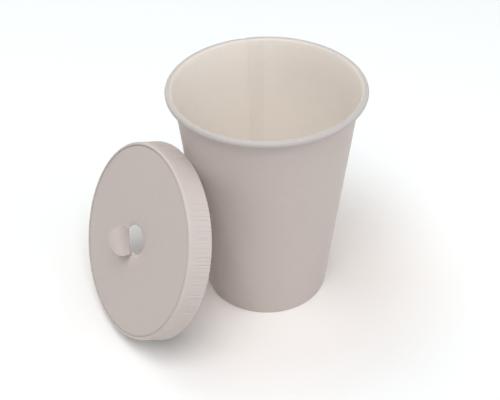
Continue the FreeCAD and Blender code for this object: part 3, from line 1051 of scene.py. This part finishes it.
        # Painted shade in the groove, kept to the face and off the deeper skirt.
        painted_groove_shade = self.groove_shade * np.exp(-(((points[:, 0] - self.groove_place) / self.groove_shade_width) ** 2))
        painted_groove_shade *= points[:, 1] > -self.groove_shade_depth
        # Painted highlight: the hole's lower rim is made lighter through the fold share.
        distance, bearing = self.hole.outside(inner[..., :2])
        halo = sum(amount * np.exp(-((distance / reach) ** 2)) for amount, reach in self.hole_rim_highlight)
        painted_hole_highlight = self.low_side(bearing) * halo
        fold = np.concatenate([painted_hole_highlight, np.maximum(ridge[None], crease) - painted_groove_shade[None]], axis=1)
        return board(middle, across, self.board, flat, fold, (Side.LINED, Side.PLAIN), closed=True)

    def relief(self, place: np.ndarray) -> np.ndarray:
        """Height that the cutting die and the thumb on the flap left on the face.

        Formula: at the distance d from the hole's edge the paper is pressed in by the sum of three terms of
        the form press * exp(-(d / width)^2): a rim, its edge and a wide dip. All fade out in a fan beside
        the hinge. The face's long soft swell lies under them.

        Args:
            place: places on the face, in the lid's own level directions.

        Returns:
            The heights.
        """
        distance, turn = self.hole.outside(place)
        off = turn - np.radians(self.hole.angle)
        hinge_side, fan = 0.675, 0.065 + 0.3 * smooth(distance, 0.0, 5.0)
        open_side = 1.0 - smooth(-np.cos(off), hinge_side - fan, hinge_side)
        pressed = self.rim_press * self.low_side(turn) * np.exp(-((distance / self.rim_width) ** 2))
        pressed += self.edge_press * np.exp(-((distance / self.edge_width) ** 2))
        dip = self.dip * (0.55 + 0.45 * np.cos(turn + 0.8)) * np.exp(-((distance / self.dip_width) ** 2))
        return self.swell(place) - open_side * (pressed + dip)

    @staticmethod
    def low_side(turn: np.ndarray) -> np.ndarray:
        """Share of the pressing, and of the painted highlight on the hole's rim, in a direction: 0.4 + 0.6
        cos(turn + 1.25), and 0.1 at the least.
        """
        return np.clip(0.4 + 0.6 * np.cos(turn + 1.25), 0.1, 1.0)

    @staticmethod
    def swell(place: np.ndarray) -> np.ndarray:
        """Height of the face's long soft swell, 0.13 * cos(pi r / 30), fading out from 34 to 42 mm."""
        radius = np.hypot(place[..., 0], place[..., 1])
        return 0.13 * np.cos(radius / 30.0 * np.pi) * (1 - smooth(radius, 34.0, 42.0))

    def flap(self) -> Surface:
        """Make the flap, cut free round its oval, bent up at its hinge and curled back over the face.

        Formula: rows lie along the fold and cross the oval from side to side. At the distance s past the
        fold the heading is angle * (1 - (1 - s / bend)^2.2) with a curl that grows to the tip, and the
        place is the running sum of its cosine and sine. Along its normal a place then moves by
        cup * ((y - middle) / half)^2 - twist * (y - middle), both growing with s.

        Returns:
            The closed surface.
        """
        ahead, beside = SipHole.axes(self.flap_fold)
        turn = np.linspace(-np.pi, np.pi, 2881)[:-1]
        edge = self.hole.edge(turn)
        long_axis, cross_axis = SipHole.axes(self.hole.angle)
        root = np.array(self.hole.centre) - self.hole.hinge * long_axis
        half_hinge = self.hole.short_half * np.sqrt(1 - (self.hole.hinge / self.hole.long_half) ** 2)
        start = float((root + half_hinge * cross_axis) @ ahead)
        past, along = edge @ ahead - start, edge @ beside
        first = int(np.argmin(past))
        past, along = np.roll(past, -first), np.roll(along, -first)
        last = int(np.argmax(past))

        span = past[last] - past[0]
        trimmed, rooted_share, steps, columns = 0.0004, 0.32, 28, 27
        way = past[0] + span * trimmed + span * (1 - 2 * trimmed) * np.concatenate([
            np.linspace(0.0, rooted_share, steps)[:-1],
            1 - (1 - rooted_share) * np.linspace(1.0, 0.0, steps) ** 1.8,
        ])
        one = np.interp(way, past[: last + 1], along[: last + 1])
        other = np.interp(way, past[last:][::-1], along[last:][::-1])
        low, high = np.minimum(one, other), np.maximum(one, other)
        neck = self.flap_neck * np.exp(-(((way - self.neck_place) / self.neck_width) ** 2))
        high = high - neck * smooth(way, 0.0, 0.8)
        across = low[:, None] + (high - low)[:, None] * np.linspace(0.0, 1.0, columns)[None, :]

        fine = np.linspace(0.0, span, 2001)
        heading = np.radians(self.flap_angle) * (1 - (1 - np.clip(fine / self.flap_bend, 0, 1)) ** 2.2)
        heading += np.radians(self.flap_curl) * smooth(fine, self.flap_bend * 0.5, span)
        step = np.diff(fine, prepend=0.0)
        run = np.where(way < 0, way, np.interp(way, fine, np.cumsum(np.cos(heading) * step)))
        rise = np.interp(way, fine, np.cumsum(np.sin(heading) * step)) - self.face_recess - self.board / 2
        turned = np.interp(way, fine, heading)[:, None]

        aside = across - root @ beside
        twisted = self.flap_twist * np.clip((way - self.twist_start) / self.twist_run, 0.0, 1.0)
        cupped = self.flap_cup * smooth(way, self.flap_bend, span)
        shift = cupped[:, None] * (aside / self.cup_half) ** 2 - twisted[:, None] * aside
        level = (run + start)[:, None] - shift * np.sin(turned)
        plan = level[..., None] * ahead + across[..., None] * beside
        foot = np.minimum(way, 0.0)[:, None, None] + start
        rooted = self.swell(foot * ahead + across[..., None] * beside)
        height = rise[:, None] + shift * np.cos(turned) + rooted
        middle = np.concatenate([plan, height[..., None]], axis=2)
        normal = np.concatenate([-np.sin(turned) * ahead, np.cos(turned)], axis=1)
        normal = np.broadcast_to(normal[:, None], middle.shape)
        flat = ((way + start)[:, None, None] * ahead + across[..., None] * beside) * MM
        bent = np.exp(-(((way - self.flap_bend / 2) / (self.flap_bend / 2)) ** 2))
        fold = np.broadcast_to(bent[:, None], across.shape)
        return board(middle, normal, self.board, flat, fold, (Side.PLAIN, Side.LINED))

    def build(self, groups: dict[str, bpy.types.NodeTree]) -> bpy.types.Object:
        """Join the cap and its flap, and lean them on the cup."""
        surface = self.cap().joined(self.flap())
        origin, axes = self.place()
        surface.points = surface.points @ axes + origin
        return make_piece("cup_lid", surface, self.finishes, groups, "lid", Slot.LID)


# The studio


@dataclass(frozen=True)
class Lamp:
    """A soft square lamp that looks at a point."""

    name: str
    place: tuple[float, float, float]
    watts: float
    colour: Colour
    size: float = 1.0
    aim: tuple[float, float, float] = (0.0, 0.0, 0.05)

    def hang(self) -> None:
        """Hang the lamp."""
        light = bpy.data.lights.new(self.name, "AREA")
        light.shape = "SQUARE"
        light.size = self.size
        light.energy = self.watts
        light.color = self.colour
        lamp = bpy.data.objects.new(self.name, light)
        bpy.context.scene.collection.objects.link(lamp)
        back = np.array(self.place) - np.array(self.aim)
        back /= np.linalg.norm(back)
        right = np.cross([0.0, 0.0, 1.0], back)
        right /= np.linalg.norm(right)
        turn = np.stack([right, np.cross(back, right), back], axis=1)
        lamp.matrix_world = Matrix.Translation(self.place) @ Matrix(turn.tolist()).to_4x4()


@dataclass(frozen=True)
class Viewpoint:
    """The photograph's camera, fitted to the picture: it looks down at the cup from in front."""

    distance: float = 0.4708517
    elevation: float = 43.2504
    pan: float = -1.0531
    tilt: float = -4.4645
    roll: float = -0.0462
    focal_pixels: float = 907.1127
    picture_width: float = 500.0

    def turn(self) -> np.ndarray:
        """Work out the camera's right, up and back directions, as rows."""
        elevation, pan, tilt, roll = np.radians([self.elevation, self.pan, self.tilt, self.roll])
        back = np.array([0.0, -np.cos(elevation), np.sin(elevation)])
        right = np.array([1.0, 0.0, 0.0])
        straight = np.stack([right, np.cross(back, right), back])
        about_y = np.array([[np.cos(pan), 0, np.sin(pan)], [0, 1, 0], [-np.sin(pan), 0, np.cos(pan)]])
        about_x = np.array([[1, 0, 0], [0, np.cos(tilt), -np.sin(tilt)], [0, np.sin(tilt), np.cos(tilt)]])
        about_z = np.array([[np.cos(roll), -np.sin(roll), 0], [np.sin(roll), np.cos(roll), 0], [0, 0, 1]])
        return about_z @ about_x @ about_y @ straight

    def set_up(self) -> None:
        """Make the camera and give it to the scene."""
        data = bpy.data.cameras.new("viewpoint")
        data.sensor_fit = "HORIZONTAL"
        data.sensor_width = 36.0
        data.lens = self.focal_pixels * data.sensor_width / self.picture_width
        data.clip_start = 0.01
        data.clip_end = 50.0
        camera = bpy.data.objects.new("viewpoint", data)
        bpy.context.scene.collection.objects.link(camera)
        elevation = np.radians(self.elevation)
        place = self.distance * np.array([0.0, -np.cos(elevation), np.sin(elevation)])
        camera.matrix_world = Matrix.Translation(place.tolist()) @ Matrix(self.turn().T.tolist()).to_4x4()
        bpy.context.scene.camera = camera


@dataclass(frozen=True)
class Studio:
    """The pale floor, the white surround and the soft lamps."""

    lamps: tuple[Lamp, ...]
    floor_colour: Colour = (0.89, 0.868, 0.858)
    glow_colour: Colour = (0.55, 0.90, 1.0)
    floor_glow: float = 0.20
    glow_reach: tuple[float, float] = (0.05, 0.09)
    surround: Colour = (1.0, 0.985, 0.97)
    surround_strength: float = 0.03
    floor_size: float = 3.0

    def seen(self, wiring: Wiring) -> bpy.types.NodeSocket:
        """Tell the rays that the camera, a mirror or a glass sends from those that carry light."""
        path = wiring.add("ShaderNodeLightPath").outputs
        straight = wiring.sum("MAXIMUM", path["Is Camera Ray"], path["Is Glossy Ray"])
        return wiring.sum("MAXIMUM", straight, path["Is Transmission Ray"])

    def lay_floor(self) -> bpy.types.Object:
        """Lay the floor, which glows a little to the camera so that it is white outside the shadows."""
        reach = self.floor_size / 2
        share = np.linspace(-reach, reach, 9)
        x, y = np.meshgrid(share, share)
        corner = (np.arange(8)[:, None] * 9 + np.arange(8)[None, :]).ravel()
        faces = np.stack([corner, corner + 1, corner + 10, corner + 9], axis=1)
        mesh = bpy.data.meshes.new("floor")
        points = np.stack([x, y, np.zeros_like(x)], axis=-1).reshape(-1, 3)
        mesh.from_pydata(points.tolist(), [], faces.tolist())
        material = bpy.data.materials.new("floor_paper")
        material.use_nodes = True
        wiring = Wiring(material.node_tree)
        place = wiring.add("ShaderNodeTexCoord").outputs["Object"]
        length = wiring.add("ShaderNodeVectorMath", {0: place}, operation="LENGTH").outputs["Value"]
        clear = wiring.beyond(length, *self.glow_reach)
        glow = wiring.sum("MULTIPLY", wiring.sum("MULTIPLY", self.seen(wiring), clear), self.floor_glow)
        wiring.feed(material.node_tree.nodes["Principled BSDF"], {
            "Base Color": (*self.floor_colour, 1.0),
            "Roughness": 0.9,
            "Specular IOR Level": 0.1,
            "Emission Color": (*self.glow_colour, 1.0),
            "Emission Strength": glow,
        })
        mesh.materials.append(material)
        floor = bpy.data.objects.new("floor", mesh)
        bpy.context.scene.collection.objects.link(floor)
        return floor

    def light_surround(self) -> None:
        """Set the world: a soft dome for light, and plain white where it is seen."""
        world = bpy.data.worlds.new("surround")
        bpy.context.scene.world = world
        world.use_nodes = True
        wiring = Wiring(world.node_tree)
        dome = world.node_tree.nodes["Background"]
        wiring.feed(dome, {"Color": (*self.surround, 1.0), "Strength": self.surround_strength})
        white = wiring.add("ShaderNodeBackground", {"Color": (1.0, 1.0, 1.0, 1.0), "Strength": 1.0})
        both = {0: self.seen(wiring), 1: dome.outputs["Background"], 2: white.outputs["Background"]}
        mixed = wiring.add("ShaderNodeMixShader", both)
        wiring.feed(world.node_tree.nodes["World Output"], {"Surface": mixed.outputs["Shader"]})

    def build(self) -> None:
        """Set up the floor, the surround and the lamps."""
        self.lay_floor()
        self.light_surround()
        for lamp in self.lamps:
            lamp.hang()
        LOG.info("studio: a floor and %d lamps", len(self.lamps))


def main() -> None:
    """Build the cup, its lid and the studio."""
    logging.basicConfig(level=logging.INFO, format="%(name)s: %(message)s")
    groups = {"paper_grain": paper_grain(), "fold_wear_and_painted_light": fold_wear_and_painted_light()}
    outside = PaperFinish("cup_paper_outside", (0.566, 0.504, 0.474), coat=0.3, clouds=0.05, streaks=0.02)
    # The lining's colour is partly the coated side's own lighter tone and partly painted light: it is raised
    # to stand in for the brighter light inside the cup.
    lining = PaperFinish(
        "cup_paper_lining",
        (0.830, 0.780, 0.725),
        roughness=0.5,
        coat=0.05,
        clouds=0.03,
        tooth=0.06,
        streaks=0.015,
    )
    cut = PaperFinish("cup_paper_cut_edge", (0.70, 0.65, 0.60), roughness=0.85, fibres=0.3, streaks=0.0)
    # On the rolled rim the lining turns darker: painted shade.
    wall_finishes = (outside, replace(lining, rim_shade_colour=(0.483, 0.457, 0.442)), replace(cut, tooth=0.3))
    base_finishes = (
        replace(outside, name="base_paper_outside"),
        replace(lining, name="base_paper_lining"),
        replace(cut, name="base_paper_cut_edge"),
    )
    lid_outside = PaperFinish("lid_paper_outside", (0.572, 0.520, 0.494), clouds=0.04, streaks=0.008)
    lid_finishes = (
        lid_outside,
        replace(lid_outside, name="lid_paper_inside", colour=(0.572, 0.512, 0.494)),
        replace(cut, name="lid_paper_cut_edge", colour=(0.62, 0.58, 0.55)),
    )

    form = CupForm()
    CupWall(form, wall_finishes).build(groups)
    CupBase(form, base_finishes).build(groups)
    Lid(form, lid_finishes).build(groups)

    Studio((
        Lamp("front", (-0.03, -0.549, 1.228), 13.6, (1.0, 0.97, 0.95)),
        Lamp("left_back", (-0.796, 0.796, 0.70), 5.0, (1.0, 0.90, 0.81)),
        Lamp("left", (-0.549, 0.0, 1.228), 3.4, (0.79, 0.91, 1.0)),
        Lamp("right", (1.058, -0.385, 0.70), 5.0, (0.86, 0.93, 1.0)),
        Lamp("low_front", (0.20, -1.02, 0.26), 1.15, (1.0, 0.95, 0.93), size=0.8),
        Lamp("right_back", (0.796, 0.796, 0.70), 2.6, (1.0, 0.89, 0.79)),
    )).build()
    Viewpoint().set_up()

    scene = bpy.context.scene
    scene.view_settings.view_transform = "Standard"


if __name__ == "__main__":
    main()
